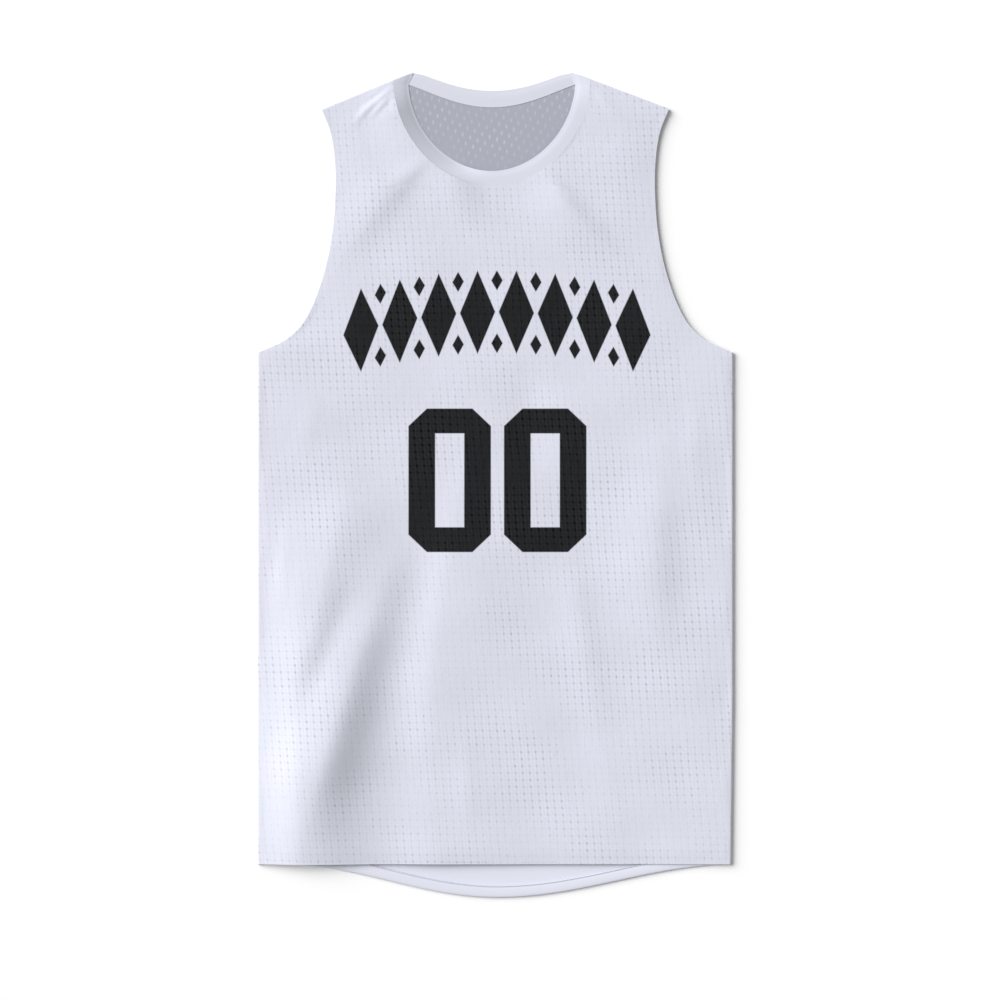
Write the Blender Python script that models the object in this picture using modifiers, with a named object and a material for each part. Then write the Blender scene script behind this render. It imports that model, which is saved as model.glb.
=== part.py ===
"""Sleeveless basketball jersey, laid flat on its back.

The front panel lies on the back panel and is joined to it at the sides and shoulders. A rib band
rings the neck, and the back's longer hem, the tail, is turned up on its inside.

Metres. +Z is up from the surface that the jersey lies on and +Y runs from hem to neck. The origin
is on that surface, below the middle of the garment.
"""
from collections import namedtuple
from math import cos, exp, pi, radians, sin

import bmesh
import bpy
from mathutils import Vector

# Garment
LENGTH = 0.869              # top of the neck band to the lowest point of the tail
CHEST_WIDTH = 0.500         # flat, side seam to side seam
HEM_NARROWING = 0.002       # the right side comes in by this much at the hem
NARROWING_TOP_Y = -0.230
FRONT_HEM_Y = -0.3990
UNDERARM_Y = 0.1385

# Cloth and seams
WALL = 0.0015               # eyelet mesh
BAND_WALL = 0.0020          # rib knit, folded double
TURN_UP_WALL = 0.0012
CLEARANCE = 0.0003          # between two pieces at a seam, or one that lies on the other
NECK_CLEARANCE = 0.0007     # the band tilts against the panels, so its seam needs more
SEAM_RISE = 0.0032          # between the panels' middle surfaces where a seam joins them
SEAM_CHORDS = 3             # chords in the quarter turn from a panel to its seam

# Tail of the back panel: a bell-shaped drop below the front's hem
TAIL_DROP = 0.0348
TAIL_X = 0.0018
TAIL_LEFT_REACH = 0.226
TAIL_RIGHT_REACH = 0.252
TAIL_FADE = 0.120           # the rows above the tail straighten over this height
TURN_UP = 0.012
TURN_UP_INSET = 0.0004
TURN_UP_SIDE_GAP = 0.008    # from the end of the turn-up to the side seam

# Neck, about its own middle line
NECK_X = -0.0035
NECK_POWER = 1.93           # of the superellipse that the front's neck follows
NECK_SEAM_HALF = 0.1032
NECK_SEAM_TOP_Y = 0.4237
FRONT_SEAM_DEPTH = 0.1106
BACK_SEAM_DEPTH = 0.0276
BACK_SEAM_POWER = 1.6
NECK_EDGE_HALF = 0.0877     # free edge of the band
NECK_EDGE_TOP_Y = 0.4244
FRONT_EDGE_DEPTH = 0.0955
BACK_EDGE_DEPTH = 0.0194
BACK_EDGE_POWER = 1.2
BAND_TIP_HALF = 0.0809      # the free edge where the band folds over at the shoulder
BAND_TIP_Y = 0.4322
BAND_TIP_START = radians(84)

# Heights of the front panel's and the band's middle surfaces. The band leans into the neck on the
# wearer's right, which is the viewer's left, and lies nearly level on the other side.
PLATEAU_Z = 0.0046
ARMHOLE_Z = 0.0036
Neck = namedtuple("Neck", "seam_z edge_z")
NECK_LEFT = Neck(0.0083, 0.0029)
NECK_RIGHT = Neck(0.0050, 0.0047)
NECK_TURN = (-0.42, -0.02)  # shares of the neck's half width between which one becomes the other
NECK_LIFT_RUN = 0.035       # the neck reaches its heights within this of the shoulder seam
NECK_REACH = 0.045          # folds die out over these distances from the neck, the sides and
SIDE_REACH = 0.046          # armholes, and the shoulders
SHOULDER_REACH = 0.024

# Mesh density
HALF_COLUMNS = 24
SIDE_ROWS = 25
ARMHOLE_ROWS = 11
STRAP_ROWS = 14
BACK_HALF_COLUMNS = 12
BACK_SIDE_ROWS = 10
BACK_ARMHOLE_ROWS = 11
BACK_STRAP_ROWS = 8
BAND_COLUMNS = 4
BAND_FOLD_STEPS = 6
ARMHOLE_CROWDING = 1.4      # rows stand closer together toward the underarm
BACK_STRAP_START = 0.8      # of the way up the armhole, where the back's rows part at the neck

Station = namedtuple("Station", "y half_width")
ARMHOLE = [
    Station(0.1514, 0.2205),
    Station(0.1724, 0.1999),
    Station(0.2144, 0.1819),
    Station(0.2617, 0.1713),
    Station(0.3100, 0.1676),
    Station(0.3450, 0.1688),
    Station(0.3709, 0.1733),
    Station(0.3928, 0.1818),
]

# Ridges, or troughs where the height is negative. A crest runs from x_top at y_top through x_mid to
# x_low at y_low. left and right are the widths of its two flanks, and fullest and at_low say where
# along it the height is reached and which share of it is left at the low end.
Fold = namedtuple("Fold", "y_top y_low x_top x_mid x_low left right height fullest at_low")
FOLDS = [
    # the outer ridge of the left side, its broad upper part and the trough on its right
    Fold(0.060, -0.270, -0.150, -0.184, -0.226, 0.070, 0.030, 0.0050, 0.60, 0.00),
    Fold(0.030, -0.160, -0.130, -0.155, -0.180, 0.070, 0.040, 0.0035, 0.50, 0.00),
    Fold(-0.090, -0.265, -0.145, -0.178, -0.210, 0.016, 0.018, -0.0016, 0.55, 0.00),
    # the main ridge, which runs out through the hem, and its foot
    Fold(-0.020, -0.400, -0.092, -0.157, -0.216, 0.070, 0.036, 0.0135, 0.66, 0.25),
    Fold(-0.200, -0.400, -0.148, -0.171, -0.182, 0.050, 0.046, 0.0052, 0.60, 0.90),
    # the slight swell of the middle, and what crosses it
    Fold(0.120, -0.400, 0.010, -0.055, -0.058, 0.032, 0.100, 0.0036, 0.50, 0.50),
    Fold(0.150, -0.010, 0.036, 0.036, 0.038, 0.024, 0.024, -0.0012, 0.50, 0.00),
    Fold(-0.045, -0.400, 0.074, 0.102, 0.134, 0.022, 0.018, 0.0010, 0.25, 0.30),
    # the right side
    Fold(0.070, -0.240, 0.168, 0.168, 0.168, 0.040, 0.026, 0.0026, 0.45, 0.00),
    # the chest: one pull from each end of the neck's round to the armhole, and a swell between
    Fold(0.365, 0.190, -0.070, -0.136, -0.212, 0.050, 0.020, 0.0022, 0.35, 0.00),
    Fold(0.355, 0.200, 0.023, 0.088, 0.158, 0.080, 0.015, 0.0024, 0.40, 0.00),
    Fold(0.345, 0.262, -0.020, -0.020, -0.020, 0.020, 0.050, 0.0018, 0.35, 0.00),
]
FOLD_TOP_WIDTH = 0.7        # share of its width that a fold has at its top end

# Places that follow from the sizes above
BACK_Z = WALL / 2
SEAM_Z = BACK_Z + SEAM_RISE
BACK_HEM_Y = TAIL_DROP - LENGTH / 2
BAND_BACK_Z = BAND_WALL / 2
SEAM_CHORD_TURN = pi / 2 / SEAM_CHORDS
SEAM_TURNS = [SEAM_CHORD_TURN * (step + 1) for step in range(SEAM_CHORDS)]
SEAM_CHORD = (SEAM_RISE - CLEARANCE) / 2 / sum(sin(turn) for turn in SEAM_TURNS)
SEAM_REACH = SEAM_CHORD * sum(cos(turn) for turn in SEAM_TURNS)
SIDE_X = CHEST_WIDTH / 2 - WALL / 2 - SEAM_REACH
OUTLINE = [Station(UNDERARM_Y, SIDE_X)] + ARMHOLE
SHOULDER = OUTLINE[-1]


def mix(a, b, share):
    """The value that lies a share of the way from a to b."""
    return a + (b - a) * share


def ease(value):
    """0 below 0, 1 above 1, and a smooth rise between."""
    value = min(max(value, 0.0), 1.0)
    return value * value * (3 - 2 * value)


def outline_half_width(y):
    """Half the garment's width at y: straight up to the underarm, then the armhole's curve."""
    if y <= OUTLINE[0].y:
        return OUTLINE[0].half_width
    if y >= SHOULDER.y:
        return SHOULDER.half_width
    low = max(index for index, station in enumerate(OUTLINE[:-1]) if station.y <= y)
    here, there = OUTLINE[low], OUTLINE[low + 1]
    span = there.y - here.y

    def slope(index):
        before = OUTLINE[max(index - 1, 0)]
        after = OUTLINE[min(index + 1, len(OUTLINE) - 1)]
        return (after.half_width - before.half_width) / (after.y - before.y)

    share = (y - here.y) / span
    rise = ease(share)
    leave = share * (1 - share) ** 2 * span * slope(low)
    arrive = share ** 2 * (1 - share) * span * slope(low + 1)
    return mix(here.half_width, there.half_width, rise) + leave - arrive


def side_point(side, y):
    """Point of the outline at y, on the left (side -1) or the right (side 1)."""
    x = outline_half_width(y)
    if side > 0 and y < NARROWING_TOP_Y:
        x -= HEM_NARROWING * (NARROWING_TOP_Y - y) / (NARROWING_TOP_Y - FRONT_HEM_Y)
    return Vector((side * x, y, 0))


def shoulder_line(side):
    """Neck end of one shoulder seam, and the direction in which the seam faces."""
    neck_end = Vector((NECK_X + side * NECK_SEAM_HALF, NECK_SEAM_TOP_Y, 0))
    along = (side_point(side, SHOULDER.y) - neck_end).normalized()
    return neck_end, Vector((-side * along.y, side * along.x, 0))


def below_shoulder(x, y):
    """Distance of a place from the shoulder seam on its side."""
    neck_end, outward = shoulder_line(1 if x > NECK_X else -1)
    return -(Vector((x, y, 0)) - neck_end).dot(outward)


def front_curve(turn, half, top_y, depth):
    """Point of the front's neck: turn is 0 at the bottom and a quarter turn at each shoulder."""
    side = 1 if turn > 0 else -1
    across = abs(sin(turn)) ** (2 / NECK_POWER)
    down = max(cos(turn), 0.0) ** (2 / NECK_POWER)
    return Vector((NECK_X + side * half * across, top_y - depth * down, 0))


def back_curve(share, half, top_y, depth, power):
    """Point of the back's neck: share runs from -1 at the left shoulder to 1 at the right one."""
    return Vector((NECK_X + share * half, top_y - depth * (1 - share * share) ** power, 0))


def front_seam(turn, offset):
    """Line of the front's neck seam, or one set off from it into the panel."""
    return front_curve(turn, NECK_SEAM_HALF + offset, NECK_SEAM_TOP_Y, FRONT_SEAM_DEPTH + offset)


def back_seam(share, offset):
    """Line of the back's neck seam, or one set off from it into the panel."""
    return back_curve(share, NECK_SEAM_HALF, NECK_SEAM_TOP_Y - offset, BACK_SEAM_DEPTH,
                      BACK_SEAM_POWER)


def neck_heights(x, y):
    """Heights of the front's neck seam and of the band's free edge, low at the shoulders."""
    start, end = NECK_TURN
    turned = ease(((x - NECK_X) / NECK_SEAM_HALF - start) / (end - start))
    lift = ease(below_shoulder(x, y) / NECK_LIFT_RUN)
    return Neck(*(mix(SEAM_Z, mix(left, right, turned), lift)
                  for left, right in zip(NECK_LEFT, NECK_RIGHT)))


def fold_height(fold, x, y):
    """What one fold adds to the front's height at x, y."""
    along = (fold.y_top - y) / (fold.y_top - fold.y_low)
    if along <= 0 or (along >= 1 and fold.at_low == 0):
        return 0.0
    along = min(along, 1.0)
    bend = 4 * along * (1 - along)
    crest = mix(fold.x_top, fold.x_low, along) + bend * (fold.x_mid - (fold.x_top + fold.x_low) / 2)
    lean = (fold.x_low - fold.x_top) / (fold.y_top - fold.y_low)
    away = (x - crest) / (1 + lean * lean) ** 0.5
    width = (fold.left if away < 0 else fold.right) * mix(FOLD_TOP_WIDTH, 1.0, along)
    if along < fold.fullest:
        fullness = ease(along / fold.fullest)
    else:
        fullness = mix(1.0, fold.at_low, ease((along - fold.fullest) / (1 - fold.fullest)))
    return fold.height * fullness * exp(-(away / width) ** 2)


def front_height(x, y):
    """Height of the front panel's middle surface."""
    z = PLATEAU_Z + sum(fold_height(fold, x, y) for fold in FOLDS)

    edge_z = mix(SEAM_Z, ARMHOLE_Z, ease((y - UNDERARM_Y) / SHOULDER_REACH))
    from_side = min(max((outline_half_width(y) - abs(x)) / SIDE_REACH, 0.0), 1.0)
    z = mix(edge_z, z, sin(from_side * pi / 2))
    z = mix(SEAM_Z, z, ease(below_shoulder(x, y) / SHOULDER_REACH))

    across = abs(x - NECK_X) / NECK_SEAM_HALF
    down = max(NECK_SEAM_TOP_Y - y, 0.0) / FRONT_SEAM_DEPTH
    ring = (across ** NECK_POWER + down ** NECK_POWER) ** (1 / NECK_POWER)
    from_neck = (ring - 1) * NECK_SEAM_HALF
    return mix(neck_heights(x, y).seam_z, z, ease(from_neck / NECK_REACH))


def tail_drop(x):
    """How far the back's hem lies below a straight one."""
    reach = TAIL_LEFT_REACH if x < TAIL_X else TAIL_RIGHT_REACH
    share = min(abs(x - TAIL_X) / reach, 1.0)
    return TAIL_DROP * cos(share * pi / 2) ** 2


def spaced(start, end, steps, crowding=1.0):
    """Values from start to end; a crowding above 1 draws them together near the start."""
    return [mix(start, end, (step / steps) ** crowding) for step in range(steps + 1)]


def panel_rows(hem_y, strap_y, neck_low_y, counts, columns, seam_point, tail):
    """Flat rows of a panel: whole ones up to the neck, then a left and a right strap."""
    side_rows, armhole_rows, strap_rows = counts
    levels = spaced(hem_y, UNDERARM_Y, side_rows)
    levels += spaced(UNDERARM_Y, strap_y, armhole_rows, ARMHOLE_CROWDING)[1:]
    scale = (neck_low_y - hem_y) / (strap_y - hem_y)
    body = []
    for level in levels:
        middle = Vector((NECK_X, hem_y + (level - hem_y) * scale, 0))
        left, right = side_point(-1, level), side_point(1, level)
        row = [left.lerp(middle, column / columns) for column in range(columns)]
        row += [middle.lerp(right, column / columns) for column in range(columns + 1)]
        fade = max(1 - (level - hem_y) / TAIL_FADE, 0.0) ** 2
        body.append([point - Vector((0, tail(point.x) * fade, 0)) for point in row])
    straps = {-1: [], 1: []}
    for side in straps:
        for step in range(1, strap_rows + 1):
            share = step / strap_rows
            outer = side_point(side, mix(strap_y, SHOULDER.y, share))
            inner = seam_point(side, share)
            row = [outer.lerp(inner, column / columns) for column in range(columns + 1)]
            straps[side].append(row if side < 0 else row[::-1])
    return body, straps


def turn_to_seam(bm, rim, outward, down):
    """Carry a panel's edge round a quarter turn, in equal chords, to face the other panel."""
    for turn in SEAM_TURNS:
        step = outward * SEAM_CHORD * cos(turn) + Vector((0, 0, -down * SEAM_CHORD * sin(turn)))
        moved = [bm.verts.new(vert.co + step) for vert in rim]
        for index in range(len(rim) - 1):
            bm.faces.new((rim[index], rim[index + 1], moved[index + 1], moved[index]))
        rim = moved


def panel_object(name, rows, height, down, side_rows, material):
    """Cloth wall over flat rows, lifted by height(x, y) and turned to its seams."""
    body, straps = rows
    bm = bmesh.new()

    def lay(row):
        return [bm.verts.new((point.x, point.y, height(point.x, point.y))) for point in row]

    def join(lower, upper):
        for index in range(len(lower) - 1):
            bm.faces.new((lower[index], lower[index + 1], upper[index + 1], upper[index]))

    grid = [lay(row) for row in body]
    for lower, upper in zip(grid, grid[1:]):
        join(lower, upper)
    middle = len(grid[-1]) // 2
    for side, start in ((-1, grid[-1][:middle + 1]), (1, grid[-1][middle:])):
        lower = start
        for row in straps[side]:
            upper = lay(row)
            join(lower, upper)
            lower = upper
        turn_to_seam(bm, lower, shoulder_line(side)[1], down)
        edge = [row[0 if side < 0 else -1] for row in grid[:side_rows + 1]]
        turn_to_seam(bm, edge, Vector((side, 0, 0)), down)
    bmesh.ops.recalc_face_normals(bm, faces=bm.faces)
    return cloth_object(name, bm, WALL, material)


def cloth_object(name, bm, wall, material):
    """Object from a middle surface, thickened both ways to a wall of cloth."""
    mesh = bpy.data.meshes.new(name)
    bm.to_mesh(mesh)
    bm.free()
    mesh.shade_smooth()
    mesh.materials.append(material)
    thing = bpy.data.objects.new(name, mesh)
    solidify = thing.modifiers.new("cloth wall", "SOLIDIFY")
    solidify.thickness = wall
    solidify.offset = 0.0
    solidify.use_even_offset = True
    jersey.objects.link(thing)
    return thing


def make_front(material):
    def seam_point(side, share):
        return front_seam(side * share * pi / 2, NECK_CLEARANCE / 2)

    neck_low_y = NECK_SEAM_TOP_Y - FRONT_SEAM_DEPTH - NECK_CLEARANCE / 2
    rows = panel_rows(FRONT_HEM_Y, neck_low_y, neck_low_y, (SIDE_ROWS, ARMHOLE_ROWS, STRAP_ROWS),
                      HALF_COLUMNS, seam_point, lambda x: 0.0)
    panel_object("front_panel", rows, front_height, 1, SIDE_ROWS, material)


def make_back(material):
    def seam_point(side, share):
        return back_seam(side * share, NECK_CLEARANCE / 2)

    neck_low_y = NECK_SEAM_TOP_Y - BACK_SEAM_DEPTH - NECK_CLEARANCE / 2
    strap_y = mix(UNDERARM_Y, SHOULDER.y, BACK_STRAP_START)
    rows = panel_rows(BACK_HEM_Y, strap_y, neck_low_y,
                      (BACK_SIDE_ROWS, BACK_ARMHOLE_ROWS, BACK_STRAP_ROWS),
                      BACK_HALF_COLUMNS, seam_point, tail_drop)
    panel_object("back_panel", rows, lambda x, y: BACK_Z, -1, BACK_SIDE_ROWS, material)


def band_sections():
    """Pairs of points, at the seam and at the free edge, all the way round the neck."""
    sections = []
    turns = [pi / 2 * step / STRAP_ROWS for step in range(-STRAP_ROWS, STRAP_ROWS + 1)]
    for turn in turns:
        seam = front_seam(turn, -NECK_CLEARANCE / 2)
        edge = front_curve(turn, NECK_EDGE_HALF, NECK_EDGE_TOP_Y, FRONT_EDGE_DEPTH)
        tip = ease((abs(turn) - BAND_TIP_START) / (pi / 2 - BAND_TIP_START))
        edge.x -= tip * (NECK_EDGE_HALF - BAND_TIP_HALF) * (1 if turn > 0 else -1)
        edge.y += tip * (BAND_TIP_Y - NECK_EDGE_TOP_Y)
        seam.z = neck_heights(seam.x, seam.y).seam_z
        edge.z = neck_heights(edge.x, edge.y).edge_z
        sections.append((seam, edge))

    radius = (SEAM_Z - BAND_BACK_Z) / 2

    def fold_over(side, pair, angles):
        outward = shoulder_line(side)[1]
        for angle in angles:
            shift = outward * radius * sin(angle) + Vector((0, 0, radius * (cos(angle) - 1)))
            sections.append(tuple(point + shift for point in pair))

    angles = [pi * step / BAND_FOLD_STEPS for step in range(1, BAND_FOLD_STEPS)]
    left, right = sections[0], sections[-1]
    fold_over(1, right, angles)
    for step in range(BACK_STRAP_ROWS, -BACK_STRAP_ROWS - 1, -1):
        share = step / BACK_STRAP_ROWS
        seam = back_seam(share, -NECK_CLEARANCE / 2)
        edge = back_curve(share, BAND_TIP_HALF, BAND_TIP_Y, BACK_EDGE_DEPTH, BACK_EDGE_POWER)
        seam.z = edge.z = BAND_BACK_Z
        sections.append((seam, edge))
    fold_over(-1, left, angles[::-1])
    return sections


def make_band(material):
    bm = bmesh.new()
    rings = []
    for seam, edge in band_sections():
        rings.append([bm.verts.new(seam.lerp(edge, column / BAND_COLUMNS))
                      for column in range(BAND_COLUMNS + 1)])
    for here, there in zip(rings, rings[1:] + rings[:1]):
        for column in range(BAND_COLUMNS):
            bm.faces.new((here[column], here[column + 1], there[column + 1], there[column]))
    bmesh.ops.recalc_face_normals(bm, faces=bm.faces)
    cloth_object("neck_band", bm, BAND_WALL, material)


def make_turn_up(material):
    bm = bmesh.new()
    z = WALL + CLEARANCE + TURN_UP_WALL / 2
    end = SIDE_X - TURN_UP_SIDE_GAP
    columns = 2 * BACK_HALF_COLUMNS
    lower, upper = [], []
    for x in spaced(-end, end, columns):
        fold_y = BACK_HEM_Y - tail_drop(x) + TURN_UP_INSET
        lower.append(bm.verts.new((x, fold_y, z)))
        upper.append(bm.verts.new((x, fold_y + TURN_UP, z)))
    for index in range(columns):
        bm.faces.new((lower[index], lower[index + 1], upper[index + 1], upper[index]))
    cloth_object("back_hem_turn_up", bm, TURN_UP_WALL, material)


def cloth_material(name, colour, roughness):
    material = bpy.data.materials.new(name)
    material.use_nodes = True
    shader = material.node_tree.nodes["Principled BSDF"]
    shader.inputs["Base Color"].default_value = (*colour, 1.0)
    shader.inputs["Roughness"].default_value = roughness
    shader.inputs["Metallic"].default_value = 0.0
    return material


for thing in list(bpy.data.objects):
    bpy.data.objects.remove(thing)
jersey = bpy.data.collections.new("basketball_jersey")
bpy.context.scene.collection.children.link(jersey)

make_front(cloth_material("white eyelet mesh", (0.72, 0.74, 0.83), 0.75))
make_back(cloth_material("reverse of the mesh", (0.62, 0.64, 0.72), 0.80))
make_band(cloth_material("white rib knit", (0.71, 0.73, 0.82), 0.70))
make_turn_up(cloth_material("hem of the mesh", (0.70, 0.72, 0.80), 0.75))
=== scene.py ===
from collections import namedtuple
from math import cos, exp, hypot, pi, radians, sin

import bmesh
import bpy
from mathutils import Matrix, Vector


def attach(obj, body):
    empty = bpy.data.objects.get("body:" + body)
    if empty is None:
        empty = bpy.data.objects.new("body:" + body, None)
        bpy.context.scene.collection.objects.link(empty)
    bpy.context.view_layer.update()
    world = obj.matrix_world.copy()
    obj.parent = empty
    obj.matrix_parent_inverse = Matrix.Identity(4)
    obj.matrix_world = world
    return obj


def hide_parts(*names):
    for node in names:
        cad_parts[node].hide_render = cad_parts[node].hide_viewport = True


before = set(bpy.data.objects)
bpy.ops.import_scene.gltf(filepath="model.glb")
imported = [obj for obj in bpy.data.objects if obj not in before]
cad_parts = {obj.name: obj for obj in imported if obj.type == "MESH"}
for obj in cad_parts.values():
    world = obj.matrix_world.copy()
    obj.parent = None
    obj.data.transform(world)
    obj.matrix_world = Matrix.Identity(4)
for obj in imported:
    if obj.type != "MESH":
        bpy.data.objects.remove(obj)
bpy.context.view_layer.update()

# Metres. +Y runs from hem to neck, +X to the right as seen from above, and +Z up from the table.

# ---------------------------------------------------------------------------------------------
# Front panel
# One piece of white polyester eyelet mesh, cut away for the armholes and a deep round neck. It is
# knitted with a small hole every 7.5 mm between fine ribs, which gives it a dry, faintly dotted
# white with a low sheen. The number and the row of lozenges are dyed into it before it is sewn.

CHEST_WIDTH = 0.500
HEM_NARROWING = 0.002
NARROWING_TOP_Y = -0.230
FRONT_HEM_Y = -0.3990
UNDERARM_Y = 0.1385
CLOTH = 0.0012              # mesh with its ribs
SOLID_WALL = 0.0015         # wall of the solids that the cloth stands in for
SEAM_GROOVE = 0.00006       # between two pieces where a seam draws them together
SEAM_RISE = 0.0032          # from the back's middle surface up to the front's at a seam
SEAM_CHORDS = 6

NECK_X = -0.0035
NECK_POWER = 1.93
NECK_SEAM_HALF = 0.1032
NECK_SEAM_TOP_Y = 0.4237
FRONT_SEAM_DEPTH = 0.1106

PLATEAU_Z = 0.0046          # the front's middle surface between its folds
ARMHOLE_Z = 0.0036          # and at the armholes
# The band leans into the neck on the left, and lies nearly level on the right
Neck = namedtuple("Neck", "seam_z edge_z")
NECK_LEFT = Neck(0.0083, 0.00135)
NECK_RIGHT = Neck(0.0050, 0.0047)
NECK_TURN = (-0.42, -0.02)  # shares of the neck's half width between which one becomes the other
NECK_LIFT_RUN = 0.035       # the neck reaches its heights within this of the shoulder seam
NECK_REACH = 0.045          # folds die out over these distances from the neck, the sides and
SIDE_REACH = 0.046          # armholes, and the shoulders
SHOULDER_REACH = 0.024
CREASE_REACH = 0.007        # creases are finer, and run nearly up to the edges
HEM_PRESS = 0.0009          # the hem is pressed down on the tail by this much
HEM_REACH = 0.014

FRONT_HALF_COLUMNS = 62
SIDE_CROWDING = 1.25        # columns stand closer together toward the sides
ARMHOLE_CROWDING = 1.4      # and rows toward the underarm
FRONT_ROWS = (120, 46, 60)  # up the side, along the armhole below the neck, and up each strap

Station = namedtuple("Station", "y half_width")
ARMHOLE = [
    Station(0.1514, 0.2205),
    Station(0.1724, 0.1999),
    Station(0.2144, 0.1819),
    Station(0.2617, 0.1713),
    Station(0.3100, 0.1676),
    Station(0.3450, 0.1688),
    Station(0.3709, 0.1733),
    Station(0.3928, 0.1818),
]

# A crest runs from x_top at y_top through x_mid to x_low at y_low. left and right are the widths of
# its flanks; fullest and at_low say where along it the height is reached, and what is left of it
# at the low end. A negative height is a trough.
Fold = namedtuple("Fold", "y_top y_low x_top x_mid x_low left right height fullest at_low")
FOLDS = [
    # the outer ridge of the left side, its broad upper part and the trough on its right
    Fold(0.060, -0.270, -0.150, -0.184, -0.226, 0.070, 0.030, 0.0050, 0.60, 0.00),
    Fold(0.030, -0.160, -0.130, -0.155, -0.180, 0.070, 0.040, 0.0035, 0.50, 0.00),
    Fold(-0.090, -0.265, -0.145, -0.178, -0.210, 0.016, 0.018, -0.0016, 0.55, 0.00),
    # the main ridge, which runs out through the hem, and its foot
    Fold(-0.020, -0.400, -0.092, -0.157, -0.216, 0.070, 0.036, 0.0135, 0.66, 0.25),
    Fold(-0.200, -0.400, -0.148, -0.171, -0.182, 0.050, 0.046, 0.0052, 0.60, 0.90),
    # the slight swell of the middle, and what crosses it
    Fold(0.120, -0.400, 0.010, -0.055, -0.058, 0.032, 0.100, 0.0036, 0.50, 0.50),
    Fold(0.150, -0.010, 0.036, 0.036, 0.038, 0.024, 0.024, -0.0012, 0.50, 0.00),
    Fold(-0.045, -0.400, 0.074, 0.102, 0.134, 0.022, 0.018, 0.0010, 0.25, 0.30),
    # the right side
    Fold(0.070, -0.240, 0.168, 0.168, 0.168, 0.040, 0.026, 0.0026, 0.45, 0.00),
    # the chest: one pull from each end of the neck's round to the armhole, and a swell between
    Fold(0.365, 0.190, -0.070, -0.136, -0.212, 0.050, 0.020, 0.0022, 0.35, 0.00),
    Fold(0.355, 0.200, 0.023, 0.088, 0.158, 0.080, 0.015, 0.0024, 0.40, 0.00),
    Fold(0.345, 0.262, -0.020, -0.020, -0.020, 0.020, 0.050, 0.0018, 0.35, 0.00),
]
CREASES = [
    # pulls from the left shoulder seam
    Fold(0.4200, 0.3800, -0.1040, -0.1260, -0.1480, 0.0040, 0.0026, 0.0015, 0.40, 0.00),
    Fold(0.4120, 0.3800, -0.1070, -0.1210, -0.1350, 0.0036, 0.0026, 0.0013, 0.40, 0.00),
    Fold(0.4240, 0.4000, -0.1085, -0.1255, -0.1425, 0.0036, 0.0030, 0.0007, 0.50, 0.00),
    Fold(0.4100, 0.3700, -0.1260, -0.1380, -0.1520, 0.0050, 0.0045, 0.0006, 0.50, 0.00),
    # sharper lines along the chest's two pulls
    Fold(0.3500, 0.2900, -0.0700, -0.0950, -0.1210, 0.0200, 0.0100, 0.0009, 0.40, 0.00),
    Fold(0.3400, 0.2500, 0.0450, 0.0740, 0.1060, 0.0260, 0.0120, 0.0010, 0.40, 0.00),
    # pulls from the right shoulder seam
    Fold(0.4160, 0.3930, 0.1030, 0.1140, 0.1280, 0.0036, 0.0036, 0.0006, 0.40, 0.00),
    Fold(0.4060, 0.3800, 0.1080, 0.1220, 0.1380, 0.0050, 0.0050, 0.0004, 0.50, 0.00),
    # puckers down the sides, and one up from the hem
    Fold(0.1100, 0.0100, -0.1900, -0.1960, -0.2070, 0.0120, 0.0120, 0.0004, 0.50, 0.00),
    Fold(0.1200, -0.0200, 0.2080, 0.2100, 0.2060, 0.0120, 0.0120, 0.0004, 0.50, 0.00),
    Fold(-0.0200, -0.1600, -0.2150, -0.2230, -0.2270, 0.0080, 0.0090, 0.0005, 0.50, 0.00),
    Fold(-0.2400, -0.3900, -0.0330, -0.0300, -0.0290, 0.0100, 0.0120, 0.0005, 0.50, 0.00),
]
FOLD_TOP_WIDTH = 0.7        # share of its width that a fold has at its top end
FOLD_SPREAD = 3             # widths from its crest beyond which a fold is left out

# The slow unevenness of cloth that has been smoothed down by hand
Swell = namedtuple("Swell", "length heading height start")
SWELLS = [
    Swell(0.083, radians(24), 0.00016, 0.3),
    Swell(0.061, radians(103), 0.00011, 1.9),
    Swell(0.117, radians(148), 0.00022, 4.1),
]

SOLID_BACK_Z = SOLID_WALL / 2
SEAM_Z = SOLID_BACK_Z + SEAM_RISE
SEAM_TURNS = [pi / 2 * (step + 1) / SEAM_CHORDS for step in range(SEAM_CHORDS)]
SEAM_CHORD = (SEAM_RISE - SEAM_GROOVE) / 2 / sum(sin(turn) for turn in SEAM_TURNS)
SEAM_REACH = SEAM_CHORD * sum(cos(turn) for turn in SEAM_TURNS)
SIDE_X = CHEST_WIDTH / 2 - CLOTH / 2 - SEAM_REACH
OUTLINE = [Station(UNDERARM_Y, SIDE_X)] + ARMHOLE
SHOULDER = OUTLINE[-1]
SHARP_ANGLE = radians(50)
EDGE_ROUNDING = 0.06        # of the cloth's thickness


def mix(a, b, share):
    return a + (b - a) * share


def ease(value):
    value = min(max(value, 0.0), 1.0)
    return value * value * (3 - 2 * value)


def outline_half_width(y):
    """Straight up to the underarm, then a smooth curve through the armhole's stations."""
    if y <= OUTLINE[0].y:
        return OUTLINE[0].half_width
    if y >= SHOULDER.y:
        return SHOULDER.half_width
    low = max(index for index, station in enumerate(OUTLINE[:-1]) if station.y <= y)
    here, there = OUTLINE[low], OUTLINE[low + 1]
    span = there.y - here.y

    def slope(index):
        before = OUTLINE[max(index - 1, 0)]
        after = OUTLINE[min(index + 1, len(OUTLINE) - 1)]
        return (after.half_width - before.half_width) / (after.y - before.y)

    share = (y - here.y) / span
    leave = share * (1 - share) ** 2 * span * slope(low)
    arrive = share ** 2 * (1 - share) * span * slope(low + 1)
    return mix(here.half_width, there.half_width, ease(share)) + leave - arrive


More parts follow.
